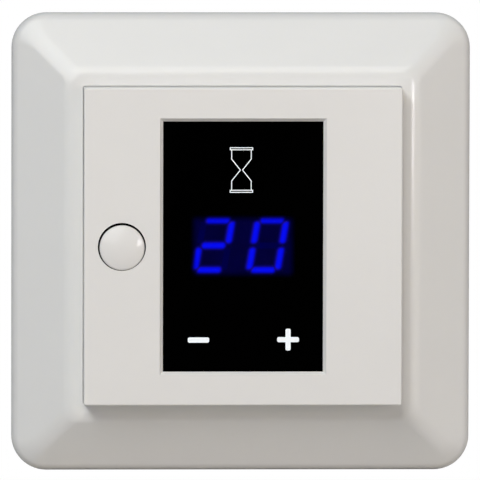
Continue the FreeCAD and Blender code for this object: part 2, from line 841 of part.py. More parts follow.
def power_board():
    """The rear circuit board, notched round the bosses and drilled for the header and the terminal bars."""
    side = housing_side - 2 * housing_wall - 2 * power_board_play
    board = box_round(side, housing_round - 2 * housing_wall - 2 * power_board_play,
                      power_board_back, power_board_front)
    board = board.cut(span(-BIG, BIG, power_board_top, BIG, power_board_back - PAST, 0))
    notch_radius = case_boss_radius + power_board_play
    cutters = drills(notch_radius, case_screw_places(), power_board_back, power_board_front)
    cutters += drills(header_hole_radius, header_places(), power_board_back, power_board_front)
    bar_width = cage_inner - 2 * bar_play
    for x in terminal_places():
        cutters.append(span(x - bar_width / 2 - pocket_play, x + bar_width / 2 + pocket_play,
                            bar_leg_y - bar_leg - pocket_play, bar_leg_y + pocket_play,
                            power_board_back - PAST, 0))
    return board.cut(cutters)


def relay():
    """The mains relay: a sealed case on a stepped base, against the back of the power board."""
    seam = power_board_back - relay_base
    top = power_board_back - relay_height
    base = block(relay_length, relay_width, seam, power_board_back, 0, relay_y)
    case_length = relay_length - 2 * relay_case_inset
    case = block(case_length, relay_width - 2 * relay_case_inset, top, seam, 0, relay_y)
    case = case.makeFillet(relay_edge_round, edges_at(case, top))
    return fused([base, case])


def film_capacitor():
    """The boxed film capacitor across the mains."""
    body = block(film_length, film_width, power_board_back - film_height, power_board_back, film_x, film_y)
    return body.makeFillet(film_edge_round, edges_at(body, power_board_back - film_height))


def electrolytic_capacitors():
    """Two standing cans with a crimped neck and a rolled top."""
    cans = []
    r, h, neck = electrolytic_radius, electrolytic_height, electrolytic_neck
    z = power_board_back
    for x, y in electrolytic_places:
        profile = [(0, z), (r - neck, z), (r, z - neck), (r, z - 4 * neck), (r - neck, z - 5 * neck),
                   (r, z - 6 * neck), (r, z - h + neck), (r - neck, z - h), (0, z - h)]
        cans.append(revolved(profile, x, y))
    return Part.Compound(cans)


def varistor():
    """The surge varistor: a coated disc standing on two legs."""
    centre_z = power_board_back - varistor_legs - varistor_radius
    disc = Part.makeCylinder(varistor_radius, varistor_thickness,
                             vec(varistor_x, varistor_y - varistor_thickness / 2, centre_z), vec(0, 1, 0))
    rims = [e for e in disc.Edges if e.BoundBox.YLength < TOUCH]
    disc = disc.makeChamfer(varistor_edge, rims)
    pins = [rod(lead_radius, centre_z, power_board_back, varistor_x + side * varistor_radius / 2, varistor_y)
            for side in (-1, 1)]
    return fused([disc] + pins)


def fuse():
    """The round radial fuse."""
    can = rod(fuse_radius, power_board_back - fuse_height, power_board_back, fuse_x, fuse_y)
    return can.makeChamfer(fuse_edge, edges_at(can, power_board_back - fuse_height))


def transformer():
    """The small switching transformer: a bobbin between two halves of an E core."""
    z, x, y = power_board_back, transformer_x, transformer_y
    top_z = z - transformer_height
    base = block(transformer_side, transformer_side, z - bobbin_flange, z, x, y)
    top = block(transformer_side, bobbin_top_depth, top_z, top_z + bobbin_flange, x, y)
    winding = rod(winding_radius, top_z, z, x, y)
    limb_x = (transformer_side - core_limb_width) / 2
    limbs = [block(core_limb_width, core_limb_depth, top_z, z, x + sign * limb_x, y) for sign in (-1, 1)]
    return fused([base, top, winding] + limbs)


def rectifier():
    """The bridge rectifier: a chamfered block on the power board."""
    body = block(rectifier_side, rectifier_side, power_board_back - rectifier_height, power_board_back,
                 rectifier_x, rectifier_y)
    return body.makeChamfer(rectifier_chamfer, edges_at(body, power_board_back - rectifier_height))


def board_header():
    """The pin strip that joins the power board to the display board."""
    length = header_pins * pin_pitch
    base = block(length, pin_pitch, power_board_front, power_board_front + header_base, header_x, header_y)
    pins = [block(header_pin_side, header_pin_side, power_board_back - pin_tail, header_pin_front, x, y)
            for x, y in header_places()]
    return fused([base] + pins)


def terminal_bars():
    """The fixed current bars: each runs through its cage and turns up into the power board."""
    bars = []
    half = cage_inner / 2 - bar_play
    for x in terminal_places():
        bar = span(x - half, x + half, bar_leg_y - bar_leg, cage_top, bar_back, bar_front)
        leg = span(x - half, x + half, bar_leg_y - bar_leg, bar_leg_y, bar_back, power_board_front + pin_tail)
        bars.append(fused([bar, leg]))
    return Part.Compound(bars)


def terminal_cage(x):
    """A rising cage: a loop round the bar and the wire, threaded at its back wall."""
    middle_y = (cage_top + cage_bottom) / 2
    outer = block(cage_width, cage_depth, cage_back, foot_front, x, middle_y)
    upright = [e for e in outer.Edges if e.BoundBox.YLength > cage_depth / 2]
    outer = outer.makeFillet(cage_wall / 2, upright)
    loop = block(cage_inner, cage_depth + 2 * PAST, cage_thread_front, foot_back, x, middle_y)
    thread = rod(terminal_screw_radius + thread_play, cage_back - PAST, cage_thread_front + PAST, x, middle_y)
    return outer.cut([loop, thread])


def terminal_screw(x):
    """A captive clamp screw: the head lies behind the access hole and the tip bears on the bar."""
    y = (cage_top + cage_bottom) / 2
    head = rod(terminal_head_radius, head_back, head_front, x, y)
    head = head.makeChamfer(terminal_head_height / 8, edges_at(head, head_back))
    shaft = rod(terminal_screw_radius, head_front, bar_back - contact_gap, x, y)
    shaft = shaft.makeChamfer(terminal_screw_radius / 4, edges_at(shaft, bar_back - contact_gap))
    long_side = 2 * cross_slot_share * terminal_head_radius
    slots = [block(long_side, cross_slot_width, head_back - PAST, head_back + cross_slot_depth, x, y),
             block(cross_slot_width, long_side, head_back - PAST, head_back + cross_slot_depth, x, y)]
    return fused([head, shaft]).cut(slots)


def stand(shape):
    """Turns a lying piece upright: up the wall becomes +Z and the room side becomes -Y."""
    upright = shape.copy()
    upright.rotate(vec(0, 0, 0), vec(1, 0, 0), 90)
    return upright


def all_pieces():
    """Every piece by the name of its node."""
    makers = [cover_frame, front_plate, touch_window, window_tape, button_cap, button_spring, key_switch_body,
              key_switch_plunger, display_housing, lit_segments, unlit_segments, display_pins, display_board,
              controller_chip, touch_springs, board_header, carrier, board_screws, mounting_ring, case_screws,
              rear_housing, power_board, relay, film_capacitor, electrolytic_capacitors, varistor, fuse,
              transformer, rectifier, terminal_bars]
    pieces = {maker.__name__: maker() for maker in makers}
    for number, x in enumerate(terminal_places(), 1):
        pieces[f"terminal_cage_{number}"] = terminal_cage(x)
        pieces[f"terminal_screw_{number}"] = terminal_screw(x)
    return pieces


def main():
    os.makedirs("parts", exist_ok=True)
    for name, shape in all_pieces().items():
        stand(shape).exportStep(f"parts/{name}.step")


main()
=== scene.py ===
"""Finishes and lights the flush-mounted timer switch.

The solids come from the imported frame. The cover frame, button, window panel and signs are surfaces worked
out here, so that their curves shade smoothly, and every other solid keeps its shape and gets its finish.
The front faces -Y, +Z is up the wall and the wall is the plane Y 0. Heights called "proud" are metres
from the wall towards the room. All lengths are metres.
"""

import bmesh
import bpy
import json
import math
import numpy as np
from mathutils import Matrix, Vector


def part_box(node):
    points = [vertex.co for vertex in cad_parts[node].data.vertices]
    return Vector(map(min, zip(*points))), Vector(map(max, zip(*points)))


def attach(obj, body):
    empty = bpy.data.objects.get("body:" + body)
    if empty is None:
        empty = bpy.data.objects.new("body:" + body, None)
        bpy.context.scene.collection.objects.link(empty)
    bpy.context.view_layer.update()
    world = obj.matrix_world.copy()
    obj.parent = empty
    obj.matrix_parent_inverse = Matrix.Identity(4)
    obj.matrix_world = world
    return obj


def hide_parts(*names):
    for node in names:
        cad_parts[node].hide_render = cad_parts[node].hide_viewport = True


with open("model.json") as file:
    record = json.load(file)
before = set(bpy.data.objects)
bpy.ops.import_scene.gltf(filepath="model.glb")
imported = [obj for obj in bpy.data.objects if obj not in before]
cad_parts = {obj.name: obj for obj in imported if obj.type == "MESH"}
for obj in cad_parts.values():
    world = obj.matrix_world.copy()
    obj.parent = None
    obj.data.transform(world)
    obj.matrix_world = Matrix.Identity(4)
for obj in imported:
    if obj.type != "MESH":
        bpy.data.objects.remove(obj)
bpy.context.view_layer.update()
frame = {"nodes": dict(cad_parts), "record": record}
nodes = frame["nodes"]

MM = 0.001
JOIN = 1e-7
SHARP = math.radians(32)


def span_of(node):
    """Lowest and highest corner of a node of the frame, as two arrays."""
    low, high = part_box(node)
    return np.array(low), np.array(high)


# Places read from the frame
frame_low, frame_high = span_of("cover_frame")
plate_low, plate_high = span_of("front_plate")
cap_low, cap_high = span_of("button_cap")
panel_low, panel_high = span_of("touch_window")
mount_front = -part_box("mounting_ring")[0][1]

# Cover frame
frame_half = frame_high[0]
frame_height = -frame_low[1]
frame_corner = 6.4 * MM
ridge_end = frame_half - 4.5 * MM
slope_steps = 12
edge_height = 2.4 * MM
edge_round = 3.3 * MM
rim_round = 0.2 * MM
crest_half = plate_high[0] + 2.8 * MM
crest_corner = 2.6 * MM
crest_round = 3.6 * MM
opening_half = plate_high[0] - 0.8 * MM
opening_corner = 0.3 * MM
rebate_half = plate_high[0] + 0.09 * MM
rebate_floor = frame_height - 1.6 * MM
rebate_corner = 0.44 * MM
lip_round = 0.08 * MM
moulding_wall = 2.0 * MM
collar_half = opening_half + 1.3 * MM
collar_back = 5.0 * MM
rib_half_thickness = 0.6 * MM
rib_offset = 16.0 * MM
rib_back = mount_front + 0.3 * MM
rib_overlap = 0.2 * MM
corner_steps = 14
round_steps = 8
fine_steps = 3
lead = 0.05 * MM

# Push button
hole_x = (cap_low[0] + cap_high[0]) / 2
cap_x = hole_x + 0.05 * MM
cap_z = (cap_low[2] + cap_high[2]) / 2 - 0.09 * MM
hole_radius = (cap_high[0] - cap_low[0]) / 2 + 0.21 * MM
cap_radius = hole_radius - 0.26 * MM
cap_top = -cap_low[1]
cap_back = -cap_high[1]
dome_rise = 0.8 * MM
cap_edge_round = 0.45 * MM
cap_wall = 0.9 * MM
cap_roof = 1.2 * MM
boss_radius = 1.5 * MM
boss_back = 12.05 * MM
# A near-black ring in the button's gap paints the gap's shade: its play, its front and its thickness
gap_shade_play = 0.015 * MM
gap_shade_front = -plate_low[1] - 0.3 * MM
gap_shade_thickness = 0.25 * MM
lug_half = (cap_high[2] - cap_low[2]) / 2
lug_thickness = 0.9 * MM
cap_turns = 96
dome_steps = 16
least_cosine = 1e-6

# Touch window and its signs
panel_half_wide = panel_high[0]
panel_half_high = panel_high[2]
panel_back = -panel_high[1]
panel_front = -panel_low[1]
panel_corner = 0.2 * MM
panel_edge = 0.08 * MM
clear_half_wide = 9.13 * MM
clear_half_high = 5.32 * MM
clear_soft = 0.95 * MM
clear_smoke = 0.28
clear_x = 0.01 * MM
clear_z = -0.03 * MM
sign_rise = 0.02 * MM
sign_sink = 0.05 * MM
sign_round = 0.3 * MM
sign_steps = 6
line_over_ring = sign_rise / 4
minus_place = (-8.09 * MM, -17.08 * MM)
minus_size = (3.9 * MM, 0.96 * MM)
plus_place = (8.25 * MM, -17.01 * MM)
plus_reach = 1.99 * MM
plus_arm_half = 0.47 * MM
hourglass_place = (-0.33 * MM, 13.98 * MM)
hourglass_stroke = 0.16 * MM
hourglass_half_wide = 2.04 * MM
hourglass_end_high = 0.37 * MM
hourglass_top = 3.88 * MM
hourglass_shoulder = (1.78 * MM, 2.0 * MM)
hourglass_waist = 0.2 * MM

# The display's lit bars: the core of each, measured in the plane of an upright digit
display_place = (-0.42 * MM, 0.07 * MM)
digit_pitch = 9.85 * MM
digit_lean = math.tan(math.radians(10))
flat_core = 1.58 * MM
flat_z = 4.5 * MM
top_bar_z = 4.66 * MM
upright_core = 1.42 * MM
upright_x = 2.6 * MM
upright_z = 2.4 * MM
flat_bars = "agd"
glow_width = 0.62 * MM
glow_fall = 2.6
lit_letters = (("abged", -digit_pitch / 2), ("abcdef", digit_pitch / 2))
bar_middles = {
    "a": (0, top_bar_z), "g": (0, 0), "d": (0, -flat_z),
    "b": (upright_x, upright_z), "c": (upright_x, -upright_z),
    "e": (-upright_x, -upright_z), "f": (-upright_x, upright_z),
}

# Finishes: the middle of a noise's range, and the board's tracks in cells a metre and shares of a cell
noise_low, noise_high = 0.3, 0.7
track_scale = 260
track_edge_start, track_edge_end = 0.06, 0.08

# Camera: angles in degrees, lens and film in millimetres
camera_azimuth = -2.08
camera_elevation = 4.2
camera_roll = 0.13
camera_distance = 2.0
camera_lens = 817.8
camera_film = 36
camera_nearest, camera_farthest = 0.1, 10
camera_target = (-0.066 * MM, -0.5 * MM, 0.2 * MM)

# Room: its light in front of the wall plane and behind it, how far it takes to change, and the floor
front_glow = 0.05
behind_glow = 0.3
glow_change = 0.1
room_tint = (1.0, 0.98, 0.97, 1)
floor_half = 1.5
floor_tint = (0.6, 0.58, 0.55, 1)

# Lights: name, azimuth and elevation in degrees, distance and side in metres, power in watts, colour.
# The colours are strong where two lights stand close together, and mix to the photo's warm white.
shading_lights = (
    ("key", -26, 34, 1.6, 0.34, 8.73, (1.0, 0.974, 0.934)),
    ("key_right", -14, 34, 1.6, 0.34, 2.92, (0.848, 0.857, 1.0)),
    ("key_left", -38, 34, 1.6, 0.34, 1.49, (0.472, 0.885, 1.0)),
    ("key_high", -14, 58, 1.6, 0.34, 1.38, (1.0, 0.804, 0.053)),
    ("front", -2, 34, 1.6, 0.34, 3.06, (1.0, 0.973, 0.872)),
    ("left", -50, 22, 1.6, 0.34, 0.75, (0.0, 0.0, 1.0)),
    ("top", 0, 80, 1.6, 0.9, 1.7, (0.0, 0.427, 1.0)),
    ("middle", 0, 5, 1.6, 0.9, 1.75, (1.0, 0.882, 0.74)),
    ("right_front", 46, 5, 1.6, 0.9, 6.01, (1.0, 0.836, 0.765)),
    ("right", 82, 5, 1.6, 0.9, 4.81, (0.918, 0.941, 1.0)),
)
mirrored_lights = (
    ("softbox", -40, 42, 1.6, 2.3, 40.8, (0.994, 1.0, 0.976)),
    ("glint", 29, 6, 0.2, 0.034, 0.052, (1.0, 0.959, 0.989)),
)


def grid_faces(rows, columns, rows_close, columns_close):
    """Quads of a grid numbered row by row: (i, j), (i, j + 1), (i + 1, j + 1), (i + 1, j). They wrap where it
    closes."""
    i = np.arange(rows if rows_close else rows - 1)[:, None]
    j = np.arange(columns if columns_close else columns - 1)[None, :]
    next_i, next_j = (i + 1) % rows, (j + 1) % columns
    quads = np.stack(np.broadcast_arrays(i * columns + j, i * columns + next_j, next_i * columns + next_j,
                                         next_i * columns + j), axis=-1)
    return quads.reshape(-1, 4).tolist()


def placed(x, z, proud):
    """Points in the row frame from places on the wall and heights proud of it."""
    return np.stack(np.broadcast_arrays(x, -np.asarray(proud), z), axis=-1)


def arc(centre_half, centre_proud, radius, start, end, steps=round_steps):
    """Points of an arc in the section plane: centre plus radius times (cos, sin) of evenly spaced angles."""
    angle = np.linspace(start, end, steps + 1)
    return np.stack([centre_half + radius * np.cos(angle), centre_proud + radius * np.sin(angle)], axis=-1)


def rounded_squares(half_wide, half_high, corner, proud, x=0.0, z=0.0):
    """Stacked rounded rectangles. Each corner is its centre plus the corner radius times (cos, sin) of the
    turn. One more point lies a lead along the side before and after it, so that the sides shade flat."""
    turn = np.linspace(0, math.pi / 2, corner_steps + 1)
    turn = np.concatenate([turn[:1], turn, turn[-1:]])
    slide = np.zeros_like(turn)
    slide[0], slide[-1] = -lead, lead
    start = np.arange(4)[:, None] * math.pi / 2
    angle = (start + turn).ravel()
    slide = np.tile(slide, 4)
    side_x = np.repeat([1, -1, -1, 1], len(turn))
    side_z = np.repeat([1, 1, -1, -1], len(turn))
    half_wide, half_high, corner = (np.asarray(a)[:, None] for a in (half_wide, half_high, corner))
    px = x + side_x * (half_wide - corner) + corner * np.cos(angle) - slide * np.sin(angle)
    pz = z + side_z * (half_high - corner) + corner * np.sin(angle) + slide * np.cos(angle)
    return placed(px, pz, np.asarray(proud)[:, None])


def closed_stack(rings):
    """A shell from stacked rings: quads between them and one flat face on each end."""
    rows, columns = rings.shape[:2]
    faces = grid_faces(rows, columns, False, True)
    faces.append(list(range(columns)))
    faces.append([(rows - 1) * columns + j for j in range(columns)])
    return rings.reshape(-1, 3), faces


def revolved(profile, x, z):
    """A closed shell of revolution: (radius, proud) points of the profile times (cos, sin) of the turn."""
    turn = np.arange(cap_turns) * 2 * math.pi / cap_turns
    radius, proud = profile[:, 0][:, None], profile[:, 1][:, None]
    points = placed(x + radius * np.cos(turn), z + radius * np.sin(turn), proud)
    return points.reshape(-1, 3), grid_faces(len(profile), cap_turns, False, True)


def thick_outline(outline, back, front):
    """A flat plate from a closed outline of (x, z) points, carried from back to front."""
    heights = np.array([back, front])[:, None]
    rings = placed(outline[None, :, 0], outline[None, :, 1], heights)
    return closed_stack(rings)


def ribbon(path, width, closed):
    """The two edges of a line of even width: each point moves half the width along its mitre, which is
    the sum of the neighbouring unit normals divided by one plus their product."""
    ahead = np.roll(path, -1, axis=0) - path
    normal = np.stack([-ahead[:, 1], ahead[:, 0]], axis=-1)
    normal /= np.linalg.norm(normal, axis=1, keepdims=True)
    before = np.roll(normal, 1, axis=0)
    if not closed:
        before[0] = normal[0]
        normal[-1] = before[-1]
    mitre = (before + normal) / (1 + (before * normal).sum(axis=1, keepdims=True))
    return path + mitre * width / 2, path - mitre * width / 2


def line_shell(path, width, closed, back, front):
    """A thin bar along a path. Its section goes from back left to front left, front right, back right."""
    left, right = ribbon(path, width, closed)
    corners = [(left, back), (left, front), (right, front), (right, back)]
    points = np.stack([placed(side[:, 0], side[:, 1], proud) for side, proud in corners], axis=1)
    faces = grid_faces(len(path), 4, closed, True)
    if not closed:
        faces.append([0, 1, 2, 3])
        faces.append([(len(path) - 1) * 4 + k for k in range(4)])
    return points.reshape(-1, 3), faces


def join_shells(shells):
    """One mesh from closed shells, each with its doubles merged and its faces turned outwards."""
    whole = bmesh.new()
    for points, faces in shells:
        part = bpy.data.meshes.new("shell")
        part.from_pydata(points.tolist(), [], faces)
        single = bmesh.new()
        single.from_mesh(part)
        bmesh.ops.remove_doubles(single, verts=single.verts, dist=JOIN)
        if single.calc_volume(signed=True) < 0:
            bmesh.ops.reverse_faces(single, faces=single.faces)
        single.to_mesh(part)
        single.free()
        whole.from_mesh(part)
        bpy.data.meshes.remove(part)
    return whole


def piece(name, shells, material, body="switch", stands_for=()):
    """A named piece of the switch from its shells, riding on a body."""
    whole = join_shells(shells)
    mesh = bpy.data.meshes.new(name)
    whole.to_mesh(mesh)
    whole.free()
    mesh.shade_smooth()
    mesh.set_sharp_from_angle(angle=SHARP)
    mesh.materials.append(material)
    made = bpy.data.objects.new(name, mesh)
    bpy.context.scene.collection.objects.link(made)
    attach(made, body)
    if stands_for:
        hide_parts(*stands_for)
    return made


def frame_section():
    """The closed section of the moulding as (half side, proud) points: up the outer wall, over the edge
    round, up the slope, over the crest round, along the flat band, into the rebate and back through the
    hollow."""
    slope = math.atan2(frame_height - edge_height, frame_half - crest_half)
    turn_in = math.pi / 2 - slope
    edge_tangent = edge_round * math.tan(turn_in / 2)
    crest_tangent = crest_round * math.tan(slope / 2)
    along = np.array([-math.cos(slope), math.sin(slope)])
    rim = arc(frame_half - rim_round, rim_round, rim_round, -math.pi / 2, 0, fine_steps)
    edge = arc(frame_half - edge_round, edge_height - edge_tangent, edge_round, 0, turn_in)
    crest = arc(crest_half - crest_tangent, frame_height - crest_round, crest_round, turn_in, math.pi / 2)
    lip = arc(rebate_half + lip_round, frame_height - lip_round, lip_round, math.pi / 2, math.pi, fine_steps)
    hollow_shift = moulding_wall * math.tan(slope / 2)
    hollow_edge = edge_height - moulding_wall * math.tan(turn_in / 2)
    roof = frame_height - moulding_wall
    inside = np.array([
        (rebate_half, rebate_floor), (opening_half, rebate_floor),
        (opening_half, collar_back), (collar_half, collar_back), (collar_half, roof),
        (crest_half - hollow_shift, roof), (frame_half - moulding_wall, hollow_edge),
        (frame_half - moulding_wall, 0),
    ])
    climb = np.linspace(edge[-1] + along * lead, crest[0] - along * lead, slope_steps + 1)
    return np.concatenate([
        rim, rim[-1:] + (0, lead), edge[:1] - (0, lead), edge, climb, crest, crest[-1:] - (lead, 0),
        lip[:1] + (lead, 0), lip, inside,
    ])


def frame_corners(section):
    """Corner radius of each ring. It is even up the slope and widens with the square of the way to the
    outer edge. It falls in straight lines from the crest to the rebate and the opening. The hollow's own
    corners are one wall less."""
    half = section[:, 0]
    corners = np.interp(half, [opening_half, rebate_half, crest_half],
                        [opening_corner, rebate_corner, crest_corner])
    outwards = np.clip((half - ridge_end) / (frame_half - ridge_end), 0, 1)
    corners += (frame_corner - crest_corner) * outwards ** 2
    corners[-2:] = frame_corner - moulding_wall
    return corners


def rib_shell(section_corners, offset, turn):
    """One rib: its outline in the section plane carried across its thickness, then turned to its side."""
    across = offset + np.array([-rib_half_thickness, rib_half_thickness])
    out, proud = np.asarray(section_corners).T
    points = placed(across[:, None], out[None, :], proud[None, :]).reshape(-1, 3)
    c, s = math.cos(turn), math.sin(turn)
    turned = points @ np.array([[c, 0, s], [0, 1, 0], [-s, 0, c]])
    return closed_stack(turned.reshape(2, -1, 3))


def cover_frame(material):
    """The sloped outer moulding with its hollow, its collar and eight ribs."""
    section = frame_section()
    corners = frame_corners(section)
    rings = rounded_squares(section[:, 0], section[:, 0], corners, section[:, 1])
    skin = (rings.reshape(-1, 3), grid_faces(*rings.shape[:2], True, True))
    slope = math.atan2(frame_height - edge_height, frame_half - crest_half)
    roof = frame_height - moulding_wall
    crest_inside = crest_half - moulding_wall * math.tan(slope / 2)
    hollow_edge = edge_height - moulding_wall * math.tan((math.pi / 2 - slope) / 2)
    wall_inside = frame_half - moulding_wall
    rib = [
        (opening_half + rib_overlap, rib_back), (wall_inside + rib_overlap, rib_back),
        (wall_inside + rib_overlap, hollow_edge), (crest_inside + rib_overlap, roof + rib_overlap),
        (collar_half - rib_overlap, roof + rib_overlap),
        (collar_half - rib_overlap, collar_back + rib_overlap),
        (opening_half + rib_overlap, collar_back + rib_overlap),
    ]
    ribs = [rib_shell(rib, offset, side * math.pi / 2)
            for side in range(4) for offset in (-rib_offset, rib_offset)]
    return piece("frame_moulding", [skin] + ribs, material, stands_for=["cover_frame"])


def button(material):
    """The domed cap: a ball's cap over a rounded edge, the barrel, the hollow and its boss, with two lugs."""
    ball = (cap_radius ** 2 + dome_rise ** 2) / (2 * dome_rise)
    ball_centre = cap_top - ball
    edge_centre = cap_radius - cap_edge_round
    edge_proud = ball_centre + math.sqrt((ball - cap_edge_round) ** 2 - edge_centre ** 2)
    lean = math.atan2(edge_centre, edge_proud - ball_centre)
    dome = arc(0, ball_centre, ball, math.pi / 2, math.pi / 2 - lean, dome_steps)
    edge = arc(edge_centre, edge_proud, cap_edge_round, math.pi / 2 - lean, 0)
    roof_back = cap_top - dome_rise - cap_roof
    bore = cap_radius - cap_wall
    inside = np.array([
        (cap_radius, edge_proud - lead), (cap_radius, cap_back), (bore, cap_back), (bore, roof_back),
        (boss_radius, roof_back), (boss_radius, boss_back), (0, boss_back),
    ])
    cup = revolved(np.concatenate([dome, edge[1:], inside]), cap_x, cap_z)

    # The lugs: a disc cut off at the barrel's width, with the barrel's bore through it
    turn = np.arange(cap_turns) * 2 * math.pi / cap_turns
    reach = np.minimum(lug_half, cap_radius / np.maximum(np.abs(np.cos(turn)), least_cosine))
    radius = np.stack([np.full_like(reach, bore + lead), reach, reach, np.full_like(reach, bore + lead)])
    proud = np.array([cap_back, cap_back, cap_back + lug_thickness, cap_back + lug_thickness])[:, None]
    lugs = placed(cap_x + radius * np.cos(turn), cap_z + radius * np.sin(turn), proud)
    return piece("button_dome", [cup, (lugs.reshape(-1, 3), grid_faces(4, cap_turns, True, True))], material,
                 body="button", stands_for=["button_cap"])


def button_gap_shade(material):
    """A near-black ring that paints the shade in the button's gap: its inner circle follows the cap and its
    outer one the hole.
    """
    turn = np.arange(cap_turns) * 2 * math.pi / cap_turns
    inner, outer = cap_radius + gap_shade_play, hole_radius - gap_shade_play
    radius = np.array([inner, outer, outer, inner])[:, None]
    middle_x = np.array([cap_x, hole_x, hole_x, cap_x])[:, None]
    middle_z = np.array([cap_z, 0, 0, cap_z])[:, None]
    proud = gap_shade_front - np.array([gap_shade_thickness, gap_shade_thickness, 0, 0])[:, None]
    points = placed(middle_x + radius * np.cos(turn), middle_z + radius * np.sin(turn), proud)
    return piece("button_gap_shade", [(points.reshape(-1, 3), grid_faces(4, cap_turns, True, True))], material)


def window_panel(material):
    """The black panel: a rounded slab with a fine round on its front and back edges."""
    edge_back = arc(-panel_edge, panel_back + panel_edge, panel_edge, -math.pi / 2, 0, fine_steps)
    edge_front = arc(-panel_edge, panel_front - panel_edge, panel_edge, 0, math.pi / 2, fine_steps)
    inset, proud = np.concatenate([edge_back, edge_front]).T
    rings = rounded_squares(panel_half_wide + inset, panel_half_high + inset, panel_corner + inset, proud)
    return piece("window_panel", [closed_stack(rings)], material,
                 stands_for=["touch_window"])


def rounded_outline(corners, radii, steps=sign_steps):
    """A closed outline whose corners are rounded: each arc runs between the tangent points, its centre on the
    corner's bisector. A zero radius leaves the corner sharp."""
    corners = np.asarray(corners, float)
    back = np.roll(corners, 1, axis=0) - corners
    ahead = np.roll(corners, -1, axis=0) - corners
    back /= np.linalg.norm(back, axis=1, keepdims=True)
    ahead /= np.linalg.norm(ahead, axis=1, keepdims=True)
    radii = np.asarray(radii, float)[:, None]
    start, end = corners + back * radii, corners + ahead * radii
    centre = corners + (back + ahead) * radii
    swing = np.linspace(0, math.pi / 2, steps + 1)
    points = (centre[:, None] + (start - centre)[:, None] * np.cos(swing)[None, :, None]
              + (end - centre)[:, None] * np.sin(swing)[None, :, None])
    keep = np.ones(points.shape[:2], bool)
    keep[radii[:, 0] == 0, 1:] = False
    return points[keep]


def minus_sign(material):
    """A round-cornered bar printed on the window."""
    half_wide, half_high = minus_size[0] / 2, minus_size[1] / 2
    corners = np.array([(half_wide, half_high), (-half_wide, half_high), (-half_wide, -half_high),
                        (half_wide, -half_high)])
    outline = rounded_outline(corners, [sign_round] * 4) + minus_place
    return piece("minus_sign", [thick_outline(outline, panel_front - sign_sink, panel_front + sign_rise)],
                 material)


def plus_sign(material):
    """A cross with round-cornered ends printed on the window: one arm's three corners, turned four times."""
    a, r = plus_arm_half, plus_reach
    arm = np.array([(a, a), (r, a), (r, -a)])
    turns = [np.array([[math.cos(t), -math.sin(t)], [math.sin(t), math.cos(t)]])
             for t in -np.arange(4) * math.pi / 2]
    corners = np.concatenate([arm @ turn.T for turn in turns])
    outline = rounded_outline(corners, [0, sign_round, sign_round] * 4) + plus_place
    return piece("plus_sign", [thick_outline(outline, panel_front - sign_sink, panel_front + sign_rise)],
                 material)


def hourglass_sign(material):
    """Two flat rings joined by two bent lines that nearly meet at the waist."""
    back, front = panel_front - sign_sink, panel_front + sign_rise
    shells = []
    wide, stroke = hourglass_half_wide, hourglass_stroke
    inner_z, outer_z = hourglass_top - hourglass_end_high / 2, hourglass_top + hourglass_end_high / 2
    wall_x, wall_z = hourglass_shoulder
    ring = np.array([(wide, inner_z), (wide, outer_z), (-wide, outer_z), (-wide, inner_z)])
    line = np.array([(wall_x, inner_z), (wall_x, wall_z), (hourglass_waist, 0), (wall_x, -wall_z),
                     (wall_x, -inner_z)])
    for end in (-1, 1):
        shells.append(line_shell(ring * (1, end) + hourglass_place, stroke, True, back, front))
        shells.append(line_shell(line * (end, 1) + hourglass_place, stroke, False, back,
                                 front + line_over_ring))
    return piece("hourglass_sign", shells, material)


